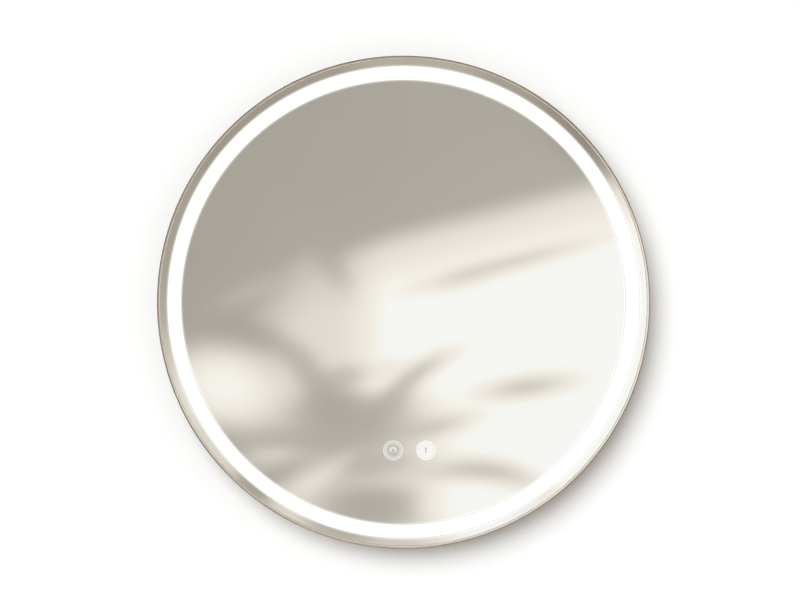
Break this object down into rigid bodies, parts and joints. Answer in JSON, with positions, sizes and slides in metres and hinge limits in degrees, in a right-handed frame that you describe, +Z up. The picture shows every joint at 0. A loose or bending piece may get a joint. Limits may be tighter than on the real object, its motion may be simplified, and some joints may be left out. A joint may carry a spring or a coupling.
{
  "type": "lighted bathroom mirror",
  "caption": "Round lighted wall mirror with a thin metal hoop, a frosted light band, touch marks and a lift-off wall rail.",
  "frame": {"origin": "middle of the wall bracket's line of screw slots, on the wall", "axes": "+Z up, +Y into the wall, mirror faces -Y"},
  "size_m": [0.6, 0.038, 0.6],
  "materials": {
    "champagne_metal": "fine brushed, champagne anodised",
    "mirror_glass": "polished float glass in front of silver",
    "silver": "silvered layer with grey paint behind",
    "backing_film": "thin matt film",
    "opal_plastic": "opal, lit from behind",
    "white_metal": "white powder coat",
    "white_board": "white flexible printed board",
    "light_chip": "phosphor window in a white package",
    "zinc_steel": "galvanised sheet",
    "plated_screw": "bright zinc plate",
    "splice_metal": "mill finish",
    "heating_film": "clear film over printed heating tracks",
    "white_plastic": "fine spark texture",
    "green_board": "solder-masked printed board",
    "spring_steel": "drawn wire",
    "clear_plastic": "clear moulded acrylic",
    "ferrite": "ground ferrite core and tape",
    "capacitor_sleeve": "shrunk sleeve",
    "grey_plastic": "fine spark texture",
    "terminal_plastic": "natural nylon",
    "terminal_brass": "nickel-free turned brass",
    "black_rubber": "matt",
    "grey_rubber": "matt",
    "white_sheath": "soft sheath",
    "grey_sheath": "soft sheath",
    "rail_steel": "bright zinc plate on bent sheet"
  },
  "bodies": {
    "wall_bracket": {"wall_bracket": "rail_steel"},
    "mirror": {"frame_hoop": "champagne_metal", "glass_gasket": "black_rubber", "mirror_glass": "mirror_glass", "silver_backing": "silver", "safety_film": "backing_film", "diffuser_ring": "opal_plastic", "light_channel": "white_metal", "led_strip": "white_board", "led_chips": "light_chip", "back_panel": "zinc_steel", "panel_screws": "plated_screw", "splice_key": "splice_metal", "splice_screws": "plated_screw", "demister_pad": "heating_film", "touch_housing_left": "white_plastic", "touch_housing_right": "white_plastic", "touch_board_left": "green_board", "touch_board_right": "green_board", "touch_spring_left": "spring_steel", "touch_spring_right": "spring_steel", "touch_light_guide_left": "clear_plastic", "touch_light_guide_right": "clear_plastic", "touch_leds": "light_chip", "driver_base": "white_plastic", "driver_lid": "white_plastic", "driver_board": "green_board", "driver_transformer": "ferrite", "driver_capacitors": "capacitor_sleeve", "driver_screws": "plated_screw", "junction_tray": "grey_plastic", "junction_cover": "grey_plastic", "junction_screws": "plated_screw", "terminal_block": "terminal_plastic", "terminal_screws": "terminal_brass", "cable_grommet": "black_rubber", "mains_lead": "white_sheath", "led_lead": "white_sheath", "demister_lead": "white_sheath", "touch_lead_left": "grey_sheath", "touch_lead_right": "grey_sheath", "lead_clips": "white_plastic", "hanger_bracket": "rail_steel", "hanger_rivets": "plated_screw", "wall_feet": "grey_rubber"}
  },
  "joints": [
    {"name": "lift_off", "type": "slide", "parent": "wall_bracket", "child": "mirror", "axis": [0, 0, 1], "range_m": [0, 0.012]}
  ]
}
